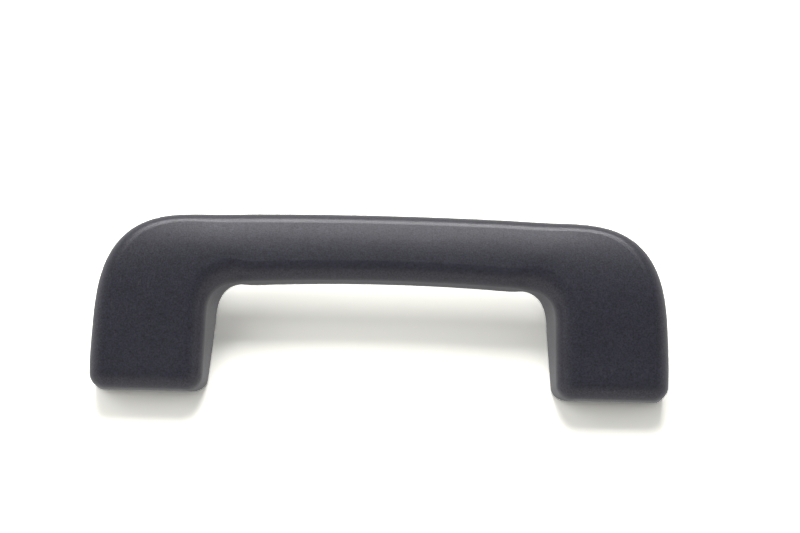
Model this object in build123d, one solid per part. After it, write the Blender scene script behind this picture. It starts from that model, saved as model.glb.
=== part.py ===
from build123d import *
import math
import os

# Roof grab handle with a spring-returned grip that folds down on two roof bases.
# All lengths are in millimetres and all angles in degrees.
# X runs along the handle, Y from the hinge towards the grip bar, Z out of the roof panel.
# Z = 0 is the roof panel and the origin lies midway between the two roof screws.
# U is measured outward along X from the middle of a leg, S and T lie in the tilted grip face.

# Overall form of the grip
face_length = 236.0
face_tilt = 20.0
axis_y = -22.0
heel_radius = 12.0
panel_gap = 0.8
leg_width = 46.2
draft_angle = 2.5
outer_corner_width = 44.0
outer_corner_s = 9.5
outer_corner_height = 53.5
outer_corner_power = 3.0
top_arc_rise = 1.5
inner_corner_width = 18.8
inner_corner_s = 17.5
inner_corner_height = 16.2
corner_lead = 3.5
gap_arc_rise = 1.6
inner_corner_power = 3.2
leg_taper = 1.2
leg_taper_from_s = 6.0
leg_taper_length = 20.0
bar_depth = 16.9

# Front face crown, as height over the hinge axis along the leg
front_height = 9.6
front_slope = 0.03
crown_start = 24.0
crown_radius = 130.0

# Edge roundings of the grip
leg_edge_radius = 8.5
bar_edge_radius = 6.5
outer_front_radius = 7.5
leg_end_radius = 6.5

# Walls and openings of the grip shell
wall = 3.0
bar_wall = 3.6
ceiling_wall = 2.6
heel_wall = 2.5
cavity_corner_radius = 3.0
ceiling_edge_radius = 2.8
slot_start_angle = 222.0
slot_side_gap = 0.6
cover_past_corner = 12.0
cover_end_ledge = 5.0
cover_inset = 3.0
cover_side_ledge = 1.2
cover_thickness = 2.5
cover_gap = 0.1
band_corner_radius = 5.0
hook_end_inset = 12.0
hook_side_gap = 0.15
hook_width = 6.0
hook_thickness = 1.3
hook_reach = 4.5
hook_barb = 0.6
barb_height = 1.2
hook_gap = 0.1

# Roof base
base_side_gap = 3.1
base_rear_y = 12.0
base_rear_gap = 0.6
plate_thickness = 3.5
plate_corner_radius = 2.5
arm_thickness = 4.0
arm_radius = 6.0
gusset_gap = 2.4
screw_boss_radius = 8.0
screw_boss_height = 6.0
screw_hole_radius = 3.25
sleeve_radius = 5.0
cap_wall = 1.0
cap_height = 13.6
cap_notch_width = 4.0
cap_edge_radius = 0.8

# Hinge
pin_radius = 2.5
pin_clearance = 0.05
bush_radius = 3.5
bush_flange_radius = 5.0
bush_flange = 0.9
boss_clearance = 0.1
boss_radius = 6.0
pin_seat_depth = 3.4
pin_stub = 1.0
pin_chamfer = 0.3

# Torsion spring and its spool
wire_radius = 0.7
coil_radius = 5.0
coil_half = 8.0
coil_full_turns = 8
spring_leg = 17.5
anchor_clearance = 0.05
anchor_size = 3.6
anchor_length = 2.5
anchor_from_end = 2.6
spool_coil_gap = 0.5
spool_gap = 0.4
spool_pin_reach = 7.0

# Rotary damper
housing_radius = 6.4
housing_wall = 1.2
rotor_side_gap = 0.3
rotor_half = 4.0
rotor_end_gap = 0.2
neck_radius = 3.2
neck_clearance = 0.1
neck_end_gap = 0.5
tang_side = 3.0
tang_from_rotor = 1.5
damper_cap_length = 3.2
seal_radius = 0.65
seal_pocket = 1.5
clip_wall = 1.2
clip_half = 3.0
clip_foot_length = 1.6
clip_cap_gap = 0.4
clip_open_from = 80.0
clip_open_to = 220.0
clip_mouth_steps = 5
key_angle = -50.0
key_width = 2.0
key_length = 3.0
key_reach = 2.2

# Stop buffers
buffer_side_inset = 4.4
buffer_rear_inset = 4.0
buffer_radius = 2.6
buffer_height = 3.6
buffer_stem_radius = 1.6
buffer_stem_depth = 2.4
stop_gap = 0.2
stop_rib_width = 2.4
stop_rib_overlap = 1.4
stop_rib_height = 24.5
buffer_edge_radius = 0.8

# Values worked out from the ones above
half_length = face_length / 2
leg_inner_x = half_length - leg_width
leg_x = half_length - leg_width / 2
outer_corner_x = half_length - outer_corner_width
inner_corner_x = leg_inner_x - inner_corner_width
cavity_half = leg_width / 2 - wall
rear_rim_z = panel_gap
axis_z = panel_gap + heel_radius
draft_slope = math.tan(math.radians(draft_angle))
tilt_sin = math.sin(math.radians(face_tilt))
tilt_cos = math.cos(math.radians(face_tilt))
ceiling_t = front_height - ceiling_wall
cavity_end_s = (base_rear_y + base_rear_gap - axis_y) * tilt_cos
cavity_end_s += (plate_thickness - axis_z) * tilt_sin
base_half_width = cavity_half - base_side_gap
arm_inner_u = base_half_width - arm_thickness
flange_face_u = base_half_width + bush_flange
boss_face_u = flange_face_u + boss_clearance
cap_radius = screw_boss_radius + cap_wall
clip_foot_end_y = -cap_radius - clip_cap_gap
base_front_y = clip_foot_end_y - clip_foot_length
buffer_u = base_half_width - buffer_side_inset
buffer_y = base_rear_y - buffer_rear_inset
gusset_end_y = buffer_y - buffer_radius - gusset_gap
spool_radius = coil_radius - wire_radius - spool_coil_gap
pin_stub_u = arm_inner_u - pin_stub
neck_end_u = pin_stub_u - neck_end_gap
tang_end_u = rotor_half + tang_from_rotor
rotor_radius = housing_radius - housing_wall - rotor_side_gap
clip_radius = housing_radius + clip_wall
cover_half = inner_corner_x + cover_past_corner
channel_half = cover_half - cover_end_ledge
channel_inset = cover_inset + cover_side_ledge
hook_x = channel_half - hook_end_inset
tilted = Plane(
    origin=(0, axis_y, axis_z), x_dir=(1, 0, 0), z_dir=(0, -tilt_sin, tilt_cos)
).location


def front_t(s):
    """Height of the front face over the hinge axis at s, measured square to the face."""
    past = max(0.0, s - crown_start)
    return front_height + front_slope * s - past**2 / (2 * crown_radius)


bar_low_s = inner_corner_s + inner_corner_height
bar_high_s = outer_corner_s + outer_corner_height
bar_back_t = front_t((bar_low_s + bar_high_s) / 2) - bar_depth
cover_seat_t = bar_back_t + cover_thickness


def top_rise(x):
    """Rise of the bar's top edge over its ends, as a shallow arc."""
    return top_arc_rise * max(0.0, 1 - (x / outer_corner_x) ** 2)


def gap_rise(x):
    """Rise of the bar's lower edge over its ends, as a shallow arc."""
    return gap_arc_rise * max(0.0, 1 - (x / inner_corner_x) ** 2)


def bar_top(x):
    return bar_high_s + top_rise(x)


def bar_bottom(x):
    return bar_low_s + gap_rise(x)


def outer_edge_x(s):
    """Outer side of a leg at s: a rounded corner above and a slight taper towards the leg end."""
    share = max(0.0, s - outer_corner_s) / outer_corner_height
    width = (1 - share**outer_corner_power) ** (1 / outer_corner_power)
    past = max(0.0, leg_taper_from_s - s) / leg_taper_length
    return outer_corner_x + (half_length - outer_corner_x) * width - leg_taper * past**2


def outer_edge_along(x, s, dx, ds):
    """Where a ray from (x, s) meets the outer outline."""
    near, far = 0.0, half_length
    for _ in range(50):
        middle = (near + far) / 2
        px, ps = x + dx * middle, s + ds * middle
        across = max(0.0, px - outer_corner_x) / (half_length - outer_corner_x)
        up = max(0.0, ps - outer_corner_s) / (outer_corner_height + top_rise(px))
        if across**outer_corner_power + up**outer_corner_power < 1:
            near = middle
        else:
            far = middle
    return x + dx * near, s + ds * near


def leg_back_t(s):
    """Back of a leg, taken below the rear rim so that the rim is cut flat later."""
    return (-axis_z - leg_edge_radius - 0.5 - s * tilt_sin) / tilt_cos


def turned(a, b):
    """Unit direction from a to b."""
    length = math.hypot(b[0] - a[0], b[1] - a[1])
    return (b[0] - a[0]) / length, (b[1] - a[1]) / length


def section_wire(inner, outer, back, radii):
    """Closed rounded section from the inner to the outer outline point, with a crowned front."""
    run = math.hypot(outer[0] - inner[0], outer[1] - inner[1])
    across = turned(inner, outer)
    inner_front, outer_front = front_t(inner[1]), front_t(outer[1])
    middle_front = front_t((inner[1] + outer[1]) / 2)
    corners = [
        (draft_slope * back, back),
        (draft_slope * inner_front, inner_front),
        (run - draft_slope * outer_front, outer_front),
        (run - draft_slope * back, back),
    ]
    sides = [turned(corners[i], corners[(i + 1) % 4]) for i in range(4)]
    starts, ends = list(sides), list(sides)
    rise = middle_front - (inner_front + outer_front) / 2
    lean = math.atan2(4 * rise, run)
    slope = math.atan2(sides[1][1], sides[1][0])
    starts[1] = (math.cos(slope + lean), math.sin(slope + lean))
    ends[1] = (math.cos(slope - lean), math.sin(slope - lean))

    def placed(point):
        return Vector(
            inner[0] + across[0] * point[0], inner[1] + across[1] * point[0], point[1]
        )

    rounds = []
    for i in range(4):
        before, after, radius = ends[i - 1], starts[i], radii[i]
        bend = math.acos(before[0] * after[0] + before[1] * after[1])
        trim = radius * math.tan(bend / 2)
        pull = 4 / 3 * math.tan(bend / 4) * radius
        a = (corners[i][0] - before[0] * trim, corners[i][1] - before[1] * trim)
        b = (corners[i][0] + after[0] * trim, corners[i][1] + after[1] * trim)
        a_pull = (a[0] + before[0] * pull, a[1] + before[1] * pull)
        b_pull = (b[0] - after[0] * pull, b[1] - after[1] * pull)
        rounds.append((a, a_pull, b_pull, b))
    edges = []
    for i in range(4):
        edges.append(Edge.make_bezier(*[placed(p) for p in rounds[i]]))
        a, b = rounds[i][3], rounds[(i + 1) % 4][0]
        third = math.hypot(b[0] - a[0], b[1] - a[1]) / 3
        a_pull = (a[0] + starts[i][0] * third, a[1] + starts[i][1] * third)
        b_pull = (b[0] - ends[i][0] * third, b[1] - ends[i][1] * third)
        edges.append(Edge.make_bezier(*[placed(p) for p in (a, a_pull, b_pull, b)]))
    return Wire(edges)


def grip_stations():
    """Section places on the right half, from the leg end round the corner to the middle."""
    leg_radii = (leg_edge_radius, leg_edge_radius, outer_front_radius, leg_edge_radius)
    bar_radii = (bar_edge_radius, bar_edge_radius, outer_front_radius, bar_edge_radius)
    last_leg_s = inner_corner_s - corner_lead
    stations = []
    for share in (0.0, 0.3462, 0.6923, 1.0):
        s = (last_leg_s + heel_radius) * share - heel_radius
        stations.append(((leg_inner_x, s), (outer_edge_x(s), s), leg_back_t(s), leg_radii))
    fan = 8
    for i in range(1, fan):
        turn = math.pi / 2 * i / fan
        along, up = (f(turn) ** (2 / inner_corner_power) for f in (math.cos, math.sin))
        inner = (
            inner_corner_x + inner_corner_width * along,
            inner_corner_s + inner_corner_height * up,
        )
        ray = turned((inner_corner_x, inner_corner_s), inner)
        outer = outer_edge_along(inner_corner_x, inner_corner_s, *ray)
        share = i / fan
        blend = share**2 * (3 - 2 * share)
        back = leg_back_t(last_leg_s) * (1 - blend) + bar_back_t * blend
        stations.append((inner, outer, back, leg_radii))
    for share in (1.0, 0.868, 0.717, 0.566, 0.377, 0.189, 0.0):
        x = inner_corner_x * share
        stations.append(((x, bar_bottom(x)), (x, bar_top(x)), bar_back_t, bar_radii))
    return stations


def mirrored_point(point):
    return -point[0], point[1]


def axis_rod(x_from, x_to, radius):
    """Round bar along the hinge axis."""
    middle = Pos((x_from + x_to) / 2, axis_y, axis_z)
    return middle * Rot(0, 90, 0) * Cylinder(radius, abs(x_to - x_from))


def at_u(side, u):
    """X of a place u outward from the middle of a leg; side is 1 on the right, -1 on the left."""
    return side * (leg_x + u)


def leg_rod(side, u_from, u_to, radius):
    return axis_rod(at_u(side, u_from), at_u(side, u_to), radius)


def prism_along_x(points, x_from, x_to):
    """Prism along X with a polygonal (y, z) section."""
    face = make_face(Polyline(*[(x_from, y, z) for y, z in points], close=True))
    return extrude(face, amount=x_to - x_from, dir=(1, 0, 0))


def around_axis(radius, angle):
    """Point (y, z) at a radius and an angle round the hinge axis, 0 towards +Y."""
    turn = math.radians(angle)
    return axis_y + radius * math.cos(turn), axis_z + radius * math.sin(turn)


def heel_and_rim_cut():
    """Everything behind the rear rim plane and outside the round heel."""
    reach = face_length
    heel_end = 180.0 + face_tilt
    start = around_axis(heel_radius, heel_end)
    way = around_axis(heel_radius, (heel_end + 270.0) / 2)
    low = (axis_y, rear_rim_z)
    out = around_axis(heel_radius + 40, heel_end)
    outline = [
        ThreePointArc((0, *low), (0, *way), (0, *start)),
        Polyline(
            (0, *start), (0, *out), (0, out[0], -80), (0, 120, -80), (0, 120, rear_rim_z), (0, *low)
        ),
    ]
    face = make_face(outline)
    return extrude(face, amount=reach, both=True, dir=(1, 0, 0))


def grip_outer():
    """Outer form of the grip as one smooth body through all sections."""
    half = grip_stations()
    right = [section_wire(a, b, back, radii) for a, b, back, radii in half]
    left = [
        section_wire(mirrored_point(a), mirrored_point(b), back, radii)
        for a, b, back, radii in reversed(half[:-1])
    ]
    body = Solid.make_loft(right + left)
    ends = [f for f in body.faces() if f.geom_type == GeomType.PLANE]
    body = body.fillet(leg_end_radius, [e for f in ends for e in f.edges()])
    return tilted * body - heel_and_rim_cut()


def bar_band(half, inset):
    """Outline of the bar between its two long edges, pulled in all round."""
    low = [(x, bar_bottom(x) + inset) for x in (-half, 0, half)]
    high = [(x, bar_top(x) - inset) for x in (half, 0, -half)]
    outline = [
        ThreePointArc(*low),
        Line(low[2], high[0]),
        ThreePointArc(*high),
        Line(high[2], low[0]),
    ]
    face = make_face(outline)
    return fillet(face.vertices(), band_corner_radius)


def bar_prism(half, inset, t_from, t_to):
    return tilted * Pos(0, 0, t_from) * extrude(bar_band(half, inset), amount=t_to - t_from)


def channel():
    """Hollow of the bar, open at the back and with a ceiling that follows the crowned front."""
    block = bar_prism(channel_half, channel_inset, bar_back_t - 10, front_t(crown_start))
    low_s, high_s = bar_bottom(inner_corner_x), bar_top(0)
    profile = [
        (low_s, bar_back_t - 12),
        (low_s, front_t(low_s) - bar_wall),
        (high_s, front_t(high_s) - bar_wall),
        (high_s, bar_back_t - 12),
    ]
    points = [(0, s, t) for s, t in profile]
    face = make_face(Polyline(*points, close=True))
    return block & tilted * extrude(face, amount=face_length, both=True, dir=(1, 0, 0))


def hooks(grow):
    """Snap hooks of the back cover; grown, they are the pockets that take them."""
    parts = []
    for x in (-hook_x, 0.0, hook_x):
        for up in (1, -1):
            edge = bar_top(x) - channel_inset if up == 1 else bar_bottom(x) + channel_inset
            middle = edge - up * (hook_thickness / 2 + hook_side_gap)
            stem = Box(
                hook_width + 2 * grow,
                hook_thickness + 2 * grow,
                hook_reach + grow,
                align=(Align.CENTER, Align.CENTER, Align.MIN),
            )
            barb = Box(
                hook_width + 2 * grow,
                hook_thickness + 2 * grow,
                barb_height + 2 * grow,
                align=(Align.CENTER, Align.CENTER, Align.CENTER),
            )
            parts.append(tilted * Pos(x, middle, cover_seat_t) * stem)
            lift = cover_seat_t + hook_reach - barb_height / 2 - 0.2
            parts.append(tilted * Pos(x, middle + up * hook_barb, lift) * barb)
    return parts


def leg_cavity(side):
    """Hollow of one leg, open at the rear, with a slot in the heel for the base arms."""
    length = cavity_end_s + heel_radius - heel_wall
    middle = cavity_end_s - length / 2
    outline = RectangleRounded(2 * cavity_half, length, cavity_corner_radius)
    block = extrude(outline, amount=60)
    block = fillet(block.edges().group_by(Axis.Z)[-1], ceiling_edge_radius)
    hollow = tilted * Pos(side * leg_x, middle, ceiling_t - 60) * block
    half_slot = base_half_width + slot_side_gap
    wedge = [
        around_axis(1.0, 246.0),
        around_axis(30.0, slot_start_angle),
        around_axis(30.0, 270.0),
    ]
    slot = prism_along_x(wedge, side * leg_x - half_slot, side * leg_x + half_slot)
    return [hollow, slot]


def cheek_bosses(side):
    """Round bosses on both side walls of a leg that hold the hinge pins."""
    return [
        leg_rod(side, way * boss_face_u, way * (cavity_half + 1), boss_radius)
        for way in (1, -1)
    ]


def pin_seats(side):
    return [
        leg_rod(side, way * (boss_face_u - 1), way * (boss_face_u + pin_seat_depth), pin_radius)
        for way in (1, -1)
    ]


def stop_rib(side):
    """Rib from the outer wall of a leg down to just over the stop buffer."""
    z_from = plate_thickness + buffer_height + stop_gap
    z_to = z_from + stop_rib_height
    u_from, u_to = buffer_u - stop_rib_overlap, cavity_half + 1
    rib = Box(u_to - u_from, stop_rib_width, z_to - z_from)
    return Pos(at_u(side, (u_from + u_to) / 2), buffer_y, (z_from + z_to) / 2) * rib


def coil_end(fixed):
    """Angle and U of the coil end that meets the base (fixed) or the grip."""
    return (270.0, -coil_half) if fixed else (90.0 + face_tilt, coil_half)


def coil_pitch():
    sweep = 270.0 - (90.0 + face_tilt) + 360.0 * coil_full_turns
    return 2 * coil_half * 360.0 / sweep


def spring_leg_line(fixed):
    """Start and unit direction of a straight spring end, in line with the coil."""
    angle, u = coil_end(fixed)
    turn = math.radians(angle)
    rise = coil_pitch() / (2 * math.pi * coil_radius)
    sense = -1 if fixed else 1
    start = Vector(at_u(-1, u), *around_axis(coil_radius, angle))
    tangent = Vector(-rise, math.sin(turn), -math.cos(turn))
    return start, (tangent * sense).normalized()


def spring_anchor(fixed):
    """Block on the base or the grip with a hole for a spring end, and that hole."""
    start, way = spring_leg_line(fixed)
    middle = start + way * (spring_leg - anchor_from_end)
    hole_plane = Plane(origin=middle, z_dir=way)
    hole = hole_plane.location * Cylinder(wire_radius + anchor_clearance, 20)
    if fixed:
        height = middle.Z - plate_thickness + anchor_size / 2
        block = Pos(middle.X, middle.Y, plate_thickness + height / 2 - 0.25) * Box(
            anchor_size, anchor_length, height + 0.5
        )
    else:
        local = tilted.inverse() * Pos(middle.X, middle.Y, middle.Z)
        t_from = local.position.Z - anchor_size / 2
        height = ceiling_t + 0.5 - t_from
        block = tilted * Pos(middle.X, local.position.Y, t_from + height / 2) * Box(
            anchor_size, anchor_length, height
        )
    return block, hole


def grip_shell(outer):
    """Moulded grip with hollow legs and bar, hinge bosses, stop ribs and spring anchor."""
    shell = outer
    for side in (1, -1):
        for hollow in leg_cavity(side):
            shell -= hollow
    shell -= channel()
    shell -= bar_prism(cover_half, cover_inset, bar_back_t - 10, cover_seat_t)
    for pocket in hooks(hook_gap):
        shell -= pocket
    for side in (1, -1):
        for boss in cheek_bosses(side):
            shell += boss
        shell += stop_rib(side) & outer
    anchor, hole = spring_anchor(False)
    shell = shell + anchor - hole
    for side in (1, -1):
        for seat in pin_seats(side):
            shell -= seat
    return shell


def back_cover(outer):
    """Cover flush in the back of the bar, with snap hooks into the channel walls."""
    inset = cover_inset + cover_gap
    cover = outer & bar_prism(cover_half - cover_gap, inset, bar_back_t - 10, cover_seat_t)
    for hook in hooks(0):
        cover += hook
    return cover


def arm_profile(foot_end_y):
    """Side view of a base arm, from the round eye at the hinge to its foot on the plate."""
    eye = Pos(axis_y, axis_z) * Circle(arm_radius)
    foot_front = (base_front_y, plate_thickness)
    foot_rear = (foot_end_y, plate_thickness)
    down = math.atan2(foot_front[1] - axis_z, foot_front[0] - axis_y)
    lean = math.acos(arm_radius / math.hypot(foot_front[0] - axis_y, foot_front[1] - axis_z))
    under = around_axis(arm_radius, math.degrees(down - lean))
    fall = math.atan2(foot_rear[1] - axis_z, foot_rear[0] - axis_y)
    spread = math.acos(arm_radius / math.hypot(foot_rear[0] - axis_y, foot_rear[1] - axis_z))
    over = around_axis(arm_radius, math.degrees(fall + spread))
    web = Polygon(
        under, foot_front, (base_front_y, 0.5), (foot_end_y, 0.5), foot_rear, over,
        (axis_y, axis_z), align=None,
    )
    return eye + web


def arm_plate(x_from, x_to, foot_end_y):
    """The arm profile as a plate between two X values."""
    low, high = min(x_from, x_to), max(x_from, x_to)
    standing = Plane(origin=(low, 0, 0), x_dir=(0, 1, 0), z_dir=(1, 0, 0))
    return extrude(standing * arm_profile(foot_end_y), amount=high - low)


def damper_key(side):
    """Fin of the damper housing that stops it from turning in the base."""
    radius = housing_radius + key_reach - key_length / 2
    y, z = around_axis(radius, key_angle)
    return Pos(side * leg_x, y, z) * Rot(key_angle, 0, 0) * Box(2 * clip_half, key_length, key_width)


def roof_base(side):
    """Moulded base with two hinge arms, a raised screw seat and the spring or damper seat."""
    plate_length = base_rear_y - base_front_y
    outline = RectangleRounded(2 * base_half_width, plate_length, plate_corner_radius)
    centre_y = (base_rear_y + base_front_y) / 2
    base = Pos(side * leg_x, centre_y, 0) * extrude(outline, amount=plate_thickness)
    for way in (1, -1):
        x_from, x_to = at_u(side, way * arm_inner_u), at_u(side, way * base_half_width)
        base += arm_plate(x_from, x_to, gusset_end_y)
    boss = Cylinder(screw_boss_radius, screw_boss_height, align=(Align.CENTER, Align.CENTER, Align.MIN))
    base += Pos(side * leg_x, 0, 0) * boss
    if side == 1:
        base += damper_clip(side)
    else:
        post, hole = spring_anchor(True)
        base = base + post - hole
    seat = Cylinder(sleeve_radius, 3 * screw_boss_height)
    base -= Pos(side * leg_x, 0, 0) * seat
    base -= leg_rod(side, -2 * base_half_width, 2 * base_half_width, bush_radius)
    stem = Cylinder(buffer_stem_radius, 2 * buffer_stem_depth)
    return base - Pos(at_u(side, buffer_u), buffer_y, plate_thickness) * stem


def damper_clip(side):
    """Open ring on a web that holds the damper housing and clears the folding grip."""
    x_from, x_to = at_u(side, -clip_half), at_u(side, clip_half)
    clip = axis_rod(x_from, x_to, clip_radius)
    mouth = [around_axis(0.5, (clip_open_from + clip_open_to) / 2 + 180.0)]
    for step in range(clip_mouth_steps + 1):
        share = step / clip_mouth_steps
        angle = clip_open_from + (clip_open_to - clip_open_from) * share
        mouth.append(around_axis(3 * clip_radius, angle))
    clip -= prism_along_x(mouth, min(x_from, x_to) - 1, max(x_from, x_to) + 1)
    clip += arm_plate(x_from, x_to, clip_foot_end_y)
    clip -= axis_rod(x_from - 1, x_to + 1, housing_radius)
    return clip - damper_key(side)


def screw_sleeve(side):
    """Steel tube that takes the clamp force of the roof screw."""
    upright = (Align.CENTER, Align.CENTER, Align.MIN)
    tube = Cylinder(sleeve_radius, screw_boss_height, align=upright)
    tube -= Cylinder(screw_hole_radius, screw_boss_height, align=upright)
    return Pos(side * leg_x, 0, 0) * tube


def screw_cap(side):
    """Round cap pushed over the screw seat, with a notch at its foot to lift it off."""
    upright = (Align.CENTER, Align.CENTER, Align.MIN)
    height = cap_height - plate_thickness
    cap = Cylinder(cap_radius, height, align=upright)
    cap = fillet(cap.edges().sort_by(Axis.Z)[-1], cap_edge_radius)
    cap -= Cylinder(screw_boss_radius, height - cap_wall - 0.2, align=upright)
    cap -= Pos(0, cap_radius, 0.5) * Box(cap_notch_width, 4 * cap_wall, 1.0)
    return Pos(side * leg_x, 0, plate_thickness) * cap


def hinge_bush(side, way):
    """Flanged plain bush in one base arm."""
    bush = leg_rod(side, way * arm_inner_u, way * flange_face_u, bush_radius)
    bush += leg_rod(side, way * base_half_width, way * flange_face_u, bush_flange_radius)
    ends = way * (arm_inner_u - 1), way * (flange_face_u + 1)
    return bush - leg_rod(side, *ends, pin_radius + pin_clearance)


def hinge_pin(side, way):
    """Hinge pin from its blind seat in the grip through one base arm."""
    u_end = spool_pin_reach if side == -1 else pin_stub_u
    pin = leg_rod(side, way * u_end, way * (boss_face_u + pin_seat_depth), pin_radius)
    ends = [e for e in pin.edges().filter_by(GeomType.CIRCLE)]
    pin = chamfer(ends, pin_chamfer)
    if side == 1 and way == 1:
        middle = (tang_end_u + u_end + 0.5) / 2
        tang = Box(u_end + 0.5 - tang_end_u, tang_side, tang_side)
        pin += Pos(at_u(side, middle), axis_y, axis_z) * tang
    return pin


def torsion_spring():
    """Return spring on the left leg, with one straight end in the base and one in the grip."""
    first, first_way = spring_leg_line(True)
    last, last_way = spring_leg_line(False)
    start = first + first_way * spring_leg
    coil_plane = Plane(
        origin=(first.X, axis_y, axis_z), x_dir=(0, 0, -1), z_dir=(-1, 0, 0)
    )
    coil = coil_plane.location * Helix(coil_pitch(), 2 * coil_half, coil_radius)
    path = Wire(
        [
            Edge.make_line(start, first),
            coil.edge(),
            Edge.make_line(last, last + last_way * spring_leg),
        ]
    )
    return sweep(Plane(origin=start, z_dir=first_way * -1) * Circle(wire_radius), path=path)


def spring_spool():
    """Tube on the inner ends of the left hinge pins that carries the spring coil."""
    reach = arm_inner_u - spool_gap
    spool = leg_rod(-1, -reach, reach, spool_radius)
    return spool - leg_rod(-1, -reach - 1, reach + 1, pin_radius)


def damper_housing():
    """Oil-filled cup of the damper, with its key fin."""
    bottom = -rotor_half - rotor_end_gap
    cup = leg_rod(1, bottom - housing_wall, rotor_half + rotor_end_gap, housing_radius)
    cup += damper_key(1)
    return cup - leg_rod(1, bottom, rotor_half + 1, housing_radius - housing_wall)


def damper_rotor():
    """Drum that turns in the oil, with a square socket for the hinge pin tang."""
    rotor = leg_rod(1, -rotor_half, rotor_half, rotor_radius)
    rotor += leg_rod(1, rotor_half - 0.5, neck_end_u, neck_radius)
    middle = (tang_end_u + neck_end_u + 1) / 2
    socket = Box(neck_end_u + 1 - tang_end_u, tang_side, tang_side)
    return rotor - Pos(at_u(1, middle), axis_y, axis_z) * socket


def damper_cap():
    """Lid of the damper cup with a running bore and a pocket for the seal."""
    start = rotor_half + rotor_end_gap
    lid = leg_rod(1, start, start + damper_cap_length, housing_radius)
    lid -= leg_rod(1, start - 1, start + damper_cap_length + 1, neck_radius + neck_clearance)
    return lid - leg_rod(1, start - 1, start + seal_pocket, neck_radius + 2 * seal_radius)


def damper_seal():
    """O-ring between the rotor neck and the lid."""
    u = rotor_half + rotor_end_gap + seal_pocket - seal_radius
    ring = Torus(neck_radius + seal_radius, seal_radius)
    return Pos(at_u(1, u), axis_y, axis_z) * Rot(0, 90, 0) * ring


def stop_buffer(side):
    """Soft buffer plugged into the base plate, under the stop rib of the grip."""
    upright = (Align.CENTER, Align.CENTER, Align.MIN)
    head = Cylinder(buffer_radius, buffer_height, align=upright)
    head = fillet(head.edges().sort_by(Axis.Z)[-1], buffer_edge_radius)
    stem = Pos(0, 0, -buffer_stem_depth) * Cylinder(
        buffer_stem_radius, buffer_stem_depth + 0.5, align=upright
    )
    return Pos(at_u(side, buffer_u), buffer_y, plate_thickness) * (head + stem)


def build():
    outer = grip_outer()
    parts = {"grip_shell": grip_shell(outer), "grip_back_cover": back_cover(outer)}
    for side, word in ((-1, "left"), (1, "right")):
        parts[f"{word}_base"] = roof_base(side)
        for way, place in ((1, "outer"), (-1, "inner")):
            parts[f"{word}_{place}_pin"] = hinge_pin(side, way)
            parts[f"{word}_{place}_bush"] = hinge_bush(side, way)
        parts[f"{word}_screw_sleeve"] = screw_sleeve(side)
        parts[f"{word}_screw_cap"] = screw_cap(side)
        parts[f"{word}_stop_buffer"] = stop_buffer(side)
    parts["torsion_spring"] = torsion_spring()
    parts["spring_spool"] = spring_spool()
    parts["damper_housing"] = damper_housing()
    parts["damper_rotor"] = damper_rotor()
    parts["damper_cap"] = damper_cap()
    parts["damper_seal"] = damper_seal()
    return parts


os.makedirs("parts", exist_ok=True)
for name, shape in build().items():
    export_step(shape, f"parts/{name}.step")
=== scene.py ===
import math

import bpy
from mathutils import Matrix, Vector


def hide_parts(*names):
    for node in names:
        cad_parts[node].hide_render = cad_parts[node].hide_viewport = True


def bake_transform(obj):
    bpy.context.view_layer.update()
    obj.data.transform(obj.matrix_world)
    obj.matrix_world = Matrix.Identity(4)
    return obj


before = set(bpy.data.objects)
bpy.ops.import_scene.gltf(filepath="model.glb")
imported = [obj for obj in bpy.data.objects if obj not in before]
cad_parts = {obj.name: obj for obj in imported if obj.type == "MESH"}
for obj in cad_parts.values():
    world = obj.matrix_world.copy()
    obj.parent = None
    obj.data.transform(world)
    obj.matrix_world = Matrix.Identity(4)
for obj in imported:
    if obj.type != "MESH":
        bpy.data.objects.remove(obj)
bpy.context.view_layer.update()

# Camera, found by fitting the grip's outline to the photograph's: metres, degrees and, for the focus, pixels
VIEW_DISTANCE = 0.54003
VIEW_ELEVATION = 54.74
VIEW_AZIMUTH = -0.641
VIEW_ROLL = 1.99
VIEW_AIM = Vector((0.007398, 0.026941, 0.015))
SENSOR_WIDTH = 36.0
FOCAL_PIXELS = 1255.25
IMAGE_WIDTH = 800
CLIP_NEAR, CLIP_FAR = 0.01, 20.0

# White table: half width, depth under the feet, colour for light, for the eye and, in part, for gloss
FLOOR_REACH = 1.0
FLOOR_BELOW = 0.0002
FLOOR_PLAIN = (0.80, 0.80, 0.79, 1.0)
FLOOR_SEEN = (1.85, 1.84, 1.72, 1.0)
FLOOR_MIRRORED = (1.0, 1.0, 0.98, 1.0)
MIRRORED_SHARE = 0.5

# Soft boxes: watts, width, height, distance, azimuth (0 is the camera's side, 90 the right), elevation
SOFT_LIGHTS = {
    "window": (18.5, 0.80, 0.80, 1.6, 183.0, 57.0),
    "front": (1.6, 0.42, 0.42, 1.6, 0.0, 68.0),
    "left": (0.9, 0.50, 0.50, 0.7, -90.0, 50.0),
    "right": (0.3, 0.42, 0.42, 1.6, 90.0, 30.0),
}
# Cards that only show as the long highlight on the bar
HIGHLIGHT_CARDS = {
    "low_card": (21.0, 1.60, 0.34, 1.6, 181.0, 43.0),
    "high_card": (8.6, 1.60, 0.42, 1.6, 181.0, 60.0),
}
# Brightness of the surroundings by the height of the direction, from the horizon (0) to straight up (1)
SKY_BANDS = ((0.0, 1.0), (0.3, 0.7), (0.6, 0.28), (0.85, 0.10), (1.0, 0.05))

# Grip: dark grey with a blue cast, its gloss, the depth of its grain in metres and the pores' share of it
GRIP_COLOUR = (0.0300, 0.0295, 0.0420)
GRIP_ROUGHNESS = 0.30
GRIP_SPECULAR = 0.50
GRIP_RELIEF = 0.00003
PORE_SHARE = 0.6
# Features per metre in the grip's finish
CLOUD_SCALE = 45.0
PATCH_SCALE = 520.0
GRAIN_SCALE = 1500.0
PORE_SCALE = 1900.0
WORN_SCALE = 26.0
SCUFF_SCALE = 900.0
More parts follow.
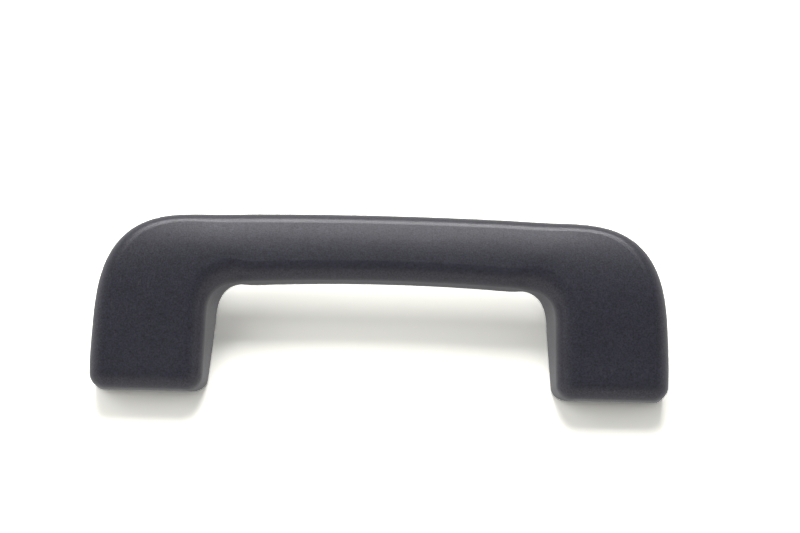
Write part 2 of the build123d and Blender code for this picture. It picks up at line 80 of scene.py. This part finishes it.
# Scuffs: slant in radians, squeeze across it and strength
SCUFF_SLANT = 0.9
SCUFF_SQUEEZE = 0.22
SCUFF_STRENGTH = 0.10
# Pale specks and dust: cells per metre, core and edge of a dot in its cell, share left bare and strength
DUST_COLOUR = (0.20, 0.20, 0.21, 1.0)
SPECKS = ((760.0, 0.06, 0.24, 0.80, 0.13), (300.0, 0.02, 0.09, 0.72, 0.34))

# Blotches per metre in the moulded and drawn surfaces, and how far they change the roughness
BLOTCH_SCALE = 60.0
GLOSS_SPREAD = 0.08


class Nodes:
    """A material's node tree with short calls to add and link nodes."""

    def __init__(self, name):
        self.material = bpy.data.materials.new(name)
        self.material.use_nodes = True
        self.tree = self.material.node_tree
        self.tree.nodes.clear()
        self.output = self.tree.nodes.new("ShaderNodeOutputMaterial")

    def feed(self, socket, value):
        """Links another node's socket into this one, or sets it to a value."""
        if isinstance(value, bpy.types.NodeSocket):
            self.tree.links.new(value, socket)
        else:
            socket.default_value = value

    def add(self, kind, **inputs):
        """A new node; each input is named with _ for a space."""
        node = self.tree.nodes.new("ShaderNode" + kind)
        for key, value in inputs.items():
            self.feed(node.inputs[key.replace("_", " ")], value)
        return node

    def noise(self, place, scale, detail, roughness=0.5):
        node = self.add("TexNoise", Vector=place, Scale=scale, Detail=detail, Roughness=roughness)
        return node.outputs["Fac"]

    def math(self, operation, a, b=0.0, c=0.0):
        node = self.tree.nodes.new("ShaderNodeMath")
        node.operation = operation
        for socket, value in zip(node.inputs, (a, b, c)):
            self.feed(socket, value)
        return node.outputs[0]

    def mix(self, blend, a, b, factor=1.0):
        """Two colours mixed or multiplied."""
        node = self.tree.nodes.new("ShaderNodeMix")
        node.data_type = "RGBA"
        node.blend_type = blend
        for index, value in ((0, factor), (6, a), (7, b)):
            self.feed(node.inputs[index], value)
        return node.outputs[2]

    def ramp(self, factor, *stops):
        """A colour ramp through (position, grey or colour) stops."""
        node = self.tree.nodes.new("ShaderNodeValToRGB")
        fill_ramp(node.color_ramp, stops)
        self.tree.links.new(factor, node.inputs["Fac"])
        return node.outputs["Color"]

    def blend_shaders(self, factor, first, second):
        node = self.tree.nodes.new("ShaderNodeMixShader")
        for socket, value in zip(node.inputs, (factor, first, second)):
            self.tree.links.new(value, socket)
        return node.outputs[0]

    def surface(self, shader):
        self.tree.links.new(shader, self.output.inputs["Surface"])
        return self.material


def fill_ramp(ramp, stops):
    """Sets a colour ramp's stops from (position, grey or colour) pairs in rising order."""
    for position, _ in stops[1:-1]:
        ramp.elements.new(position)
    for element, (position, value) in zip(ramp.elements, stops):
        element.position = position
        colour = value if isinstance(value, tuple) else (value, value, value)
        element.color = (*colour, 1.0)


def times(colour, factor):
    return tuple(channel * factor for channel in colour)


def grained(name, colour, shade, roughness, grain_size, grain_depth, metallic=0.0):
    """Moulded or drawn surface: a colour with soft blotches, a fine grain and uneven gloss."""
    n = Nodes(name)
    place = n.add("TexCoord").outputs["Object"]
    blotches = n.noise(place, BLOTCH_SCALE, 4.0, 0.55)
    grain = n.noise(place, 1 / grain_size, 2.0)
    tone = n.ramp(blotches, (0.3, colour), (0.7, times(colour, shade)))
    gloss = n.math("MULTIPLY_ADD", blotches, GLOSS_SPREAD, roughness - GLOSS_SPREAD / 2)
    bump = n.add("Bump", Height=grain, Distance=grain_depth).outputs["Normal"]
    shader = n.add("BsdfPrincipled", Base_Color=tone, Roughness=gloss, Normal=bump, Metallic=metallic)
    return n.surface(shader.outputs[0])


def soft_touch(name):
    """Soft-touch plastic of the grip, with a cloudy tone, fine grain, faint scuffs, pale specks and dust."""
    n = Nodes(name)
    place = n.add("TexCoord").outputs["Object"]
    cloud = n.noise(place, CLOUD_SCALE, 5.0, 0.6)
    patches = n.noise(place, PATCH_SCALE, 3.0, 0.6)
    grain = n.noise(place, GRAIN_SCALE, 3.0, 0.65)
    pores = n.add("TexVoronoi", Vector=place, Scale=PORE_SCALE).outputs["Distance"]

    tone = n.ramp(cloud, (0.3, GRIP_COLOUR), (0.72, times(GRIP_COLOUR, 1.14)))
    tone = n.mix("MULTIPLY", tone, n.ramp(grain, (0.3, 0.48), (0.7, 1.52)))
    tone = n.mix("MULTIPLY", tone, n.ramp(patches, (0.3, 0.90), (0.7, 1.10)))

    slant = (0.0, 0.0, SCUFF_SLANT)
    along = n.add("Mapping", Vector=place, Rotation=slant, Scale=(1.0, SCUFF_SQUEEZE, 1.0)).outputs[0]
    streaks = n.ramp(n.noise(along, SCUFF_SCALE, 2.0), (0.60, 0.0), (0.72, 1.0))
    worn = n.ramp(n.noise(place, WORN_SCALE, 3.0), (0.52, 0.0), (0.66, 1.0))
    scuffs = n.math("MULTIPLY", n.math("MULTIPLY", streaks, worn), SCUFF_STRENGTH)
    tone = n.mix("MIX", tone, DUST_COLOUR, scuffs)
    for scale, core, edge, rare, strength in SPECKS:
        specks = n.add("TexVoronoi", Vector=place, Scale=scale)
        dot = n.ramp(specks.outputs["Distance"], (core, 1.0), (edge, 0.0))
        pick = n.add("SeparateColor", Color=specks.outputs["Color"]).outputs["Red"]
        dot = n.math("MULTIPLY", dot, n.ramp(pick, (rare, 0.0), (1.0, 1.0)))
        tone = n.mix("MIX", tone, DUST_COLOUR, n.math("MULTIPLY", dot, strength))

    gloss = n.math("MULTIPLY_ADD", cloud, GLOSS_SPREAD, GRIP_ROUGHNESS)
    relief = n.math("ADD", grain, n.math("MULTIPLY", pores, PORE_SHARE))
    bump = n.add("Bump", Height=relief, Distance=GRIP_RELIEF).outputs["Normal"]
    shader = n.add("BsdfPrincipled", Base_Color=tone, Roughness=gloss, Normal=bump)
    shader.inputs["Specular IOR Level"].default_value = GRIP_SPECULAR
    return n.surface(shader.outputs[0])


def white_table():
    """White table, just white to the eye where no shadow falls, and a little paler to gloss than it is."""
    n = Nodes("table_white")
    path = n.add("LightPath")
    mirrored = n.math("MAXIMUM", path.outputs["Is Glossy Ray"], path.outputs["Is Transmission Ray"])
    mirrored = n.math("MULTIPLY", mirrored, MIRRORED_SHARE)
    plain = n.add("BsdfDiffuse", Color=FLOOR_PLAIN).outputs[0]
    seen = n.add("BsdfDiffuse", Color=FLOOR_SEEN).outputs[0]
    white = n.add("Emission", Color=FLOOR_MIRRORED, Strength=1.0).outputs[0]
    by_eye = n.blend_shaders(path.outputs["Is Camera Ray"], plain, seen)
    return n.surface(n.blend_shaders(mirrored, by_eye, white))


# Finish of each slot: colour, shade of its blotches, roughness, grain size and depth in metres, metal
MOULDED = {
    "cover_plastic": ((0.028, 0.028, 0.033), 1.15, 0.52, 0.0004, 0.00002),
    "base_plastic": ((0.035, 0.035, 0.038), 1.15, 0.50, 0.0005, 0.00002),
    "cap_plastic": ((0.030, 0.030, 0.034), 1.12, 0.48, 0.0005, 0.00002),
    "damper_plastic": ((0.018, 0.018, 0.020), 1.2, 0.35, 0.0006, 0.00001),
    "bush_plastic": ((0.62, 0.60, 0.53), 0.92, 0.40, 0.0006, 0.00001),
    "pin_steel": ((0.56, 0.56, 0.57), 0.9, 0.28, 0.0003, 0.000005, 1.0),
    "sleeve_steel": ((0.60, 0.59, 0.54), 0.85, 0.38, 0.0004, 0.00001, 1.0),
    "spring_steel": ((0.42, 0.42, 0.43), 0.85, 0.30, 0.0003, 0.000005, 1.0),
    "buffer_rubber": ((0.020, 0.020, 0.021), 1.2, 0.75, 0.0003, 0.00002),
    "seal_rubber": ((0.016, 0.016, 0.017), 1.2, 0.60, 0.0003, 0.00001),
}
# Slot of a node by its whole name, or else by the last word of its name
SLOT_OF = {
    "grip_shell": "grip_plastic",
    "grip_back_cover": "cover_plastic",
    "torsion_spring": "spring_steel",
    "spring_spool": "bush_plastic",
    "damper_seal": "seal_rubber",
    "damper_housing": "damper_plastic",
    "damper_rotor": "damper_plastic",
    "damper_cap": "damper_plastic",
    "base": "base_plastic",
    "pin": "pin_steel",
    "bush": "bush_plastic",
    "sleeve": "sleeve_steel",
    "cap": "cap_plastic",
    "buffer": "buffer_rubber",
}


def paint_nodes():
    """Gives every CAD node the finish of its slot."""
    finishes = {slot: grained(slot, *values) for slot, values in MOULDED.items()}
    finishes["grip_plastic"] = soft_touch("grip_plastic")
    for name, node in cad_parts.items():
        slot = SLOT_OF.get(name) or SLOT_OF[name.rsplit("_", 1)[1]]
        node.data.materials.clear()
        node.data.materials.append(finishes[slot])


def return_spring():
    """The spring, which in the handle winds up between its end in the base and its end in the grip as the
    grip folds; here a fixed copy of the CAD node's mesh stands in for the hidden node.
    """
    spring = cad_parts["torsion_spring"]
    coils = bpy.data.objects.new("return_spring", spring.data.copy())
    bpy.context.scene.collection.objects.link(coils)
    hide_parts("torsion_spring")
    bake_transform(coils)


def table():
    """Flat table just under the feet, staged so that it isn't a part of the object."""
    mesh = bpy.data.meshes.new("floor")
    corners = [(x * FLOOR_REACH, y * FLOOR_REACH, 0) for x, y in ((-1, -1), (1, -1), (1, 1), (-1, 1))]
    mesh.from_pydata(corners, [], [(0, 1, 2, 3)])
    mesh.materials.append(white_table())
    floor = bpy.data.objects.new("floor", mesh)
    floor.location = (0, 0, -FLOOR_BELOW)
    bpy.context.scene.collection.objects.link(floor)


def towards(azimuth, elevation):
    """Unit direction from the object to a place round it, in degrees."""
    a, e = math.radians(azimuth), math.radians(elevation)
    return Vector((math.sin(a) * math.cos(e), -math.cos(a) * math.cos(e), math.sin(e)))


def soft_box(name, watts, width, height, distance, azimuth, elevation):
    """Rectangular lamp aimed at the object."""
    data = bpy.data.lights.new(name, "AREA")
    data.shape = "RECTANGLE"
    data.energy = watts
    data.size, data.size_y = width, height
    lamp = bpy.data.objects.new(name, data)
    bpy.context.scene.collection.objects.link(lamp)
    way = towards(azimuth, elevation)
    lamp.location = way * distance
    lamp.rotation_mode = "QUATERNION"
    lamp.rotation_quaternion = way.to_track_quat("Z", "Y")
    return lamp


def lights():
    """Soft boxes that light without showing as gloss, and cards that only show as gloss."""
    for name, values in SOFT_LIGHTS.items():
        soft_box(name, *values).visible_glossy = False
    for name, values in HIGHLIGHT_CARDS.items():
        soft_box(name, *values).visible_diffuse = False


def surroundings():
    """World that is white at the horizon and dark overhead, and plain white to the eye and through glass."""
    world = bpy.data.worlds.new("studio")
    world.use_nodes = True
    tree = world.node_tree
    tree.nodes.clear()
    direction = tree.nodes.new("ShaderNodeTexCoord").outputs["Generated"]
    split = tree.nodes.new("ShaderNodeSeparateXYZ")
    height = tree.nodes.new("ShaderNodeValToRGB")
    fill_ramp(height.color_ramp, SKY_BANDS)
    sky = tree.nodes.new("ShaderNodeBackground")
    white = tree.nodes.new("ShaderNodeBackground")
    white.inputs["Color"].default_value = (1, 1, 1, 1)
    path = tree.nodes.new("ShaderNodeLightPath")
    direct = tree.nodes.new("ShaderNodeMath")
    direct.operation = "MAXIMUM"
    mix = tree.nodes.new("ShaderNodeMixShader")
    out = tree.nodes.new("ShaderNodeOutputWorld")
    for source, target in (
        (direction, split.inputs[0]),
        (split.outputs["Z"], height.inputs["Fac"]),
        (height.outputs["Color"], sky.inputs["Color"]),
        (path.outputs["Is Camera Ray"], direct.inputs[0]),
        (path.outputs["Is Transmission Ray"], direct.inputs[1]),
        (direct.outputs[0], mix.inputs[0]),
        (sky.outputs[0], mix.inputs[1]),
        (white.outputs[0], mix.inputs[2]),
        (mix.outputs[0], out.inputs["Surface"]),
    ):
        tree.links.new(source, target)
    bpy.context.scene.world = world


def camera():
    """Camera at the photograph's viewing angle."""
    back = towards(VIEW_AZIMUTH, VIEW_ELEVATION)
    level_right = (-back).cross(Vector((0, 0, 1))).normalized()
    level_up = level_right.cross(-back)
    roll = math.radians(VIEW_ROLL)
    right = math.cos(roll) * level_right + math.sin(roll) * level_up
    up = math.cos(roll) * level_up - math.sin(roll) * level_right
    data = bpy.data.cameras.new("camera")
    data.sensor_width = SENSOR_WIDTH
    data.lens = FOCAL_PIXELS / IMAGE_WIDTH * SENSOR_WIDTH
    data.clip_start, data.clip_end = CLIP_NEAR, CLIP_FAR
    eye = bpy.data.objects.new("camera", data)
    bpy.context.scene.collection.objects.link(eye)
    turn = Matrix((right, up, back)).transposed().to_4x4()
    eye.matrix_world = Matrix.Translation(VIEW_AIM + back * VIEW_DISTANCE) @ turn
    bpy.context.scene.camera = eye
    bpy.context.scene.view_settings.view_transform = "Standard"


paint_nodes()
return_spring()
table()
lights()
surroundings()
camera()
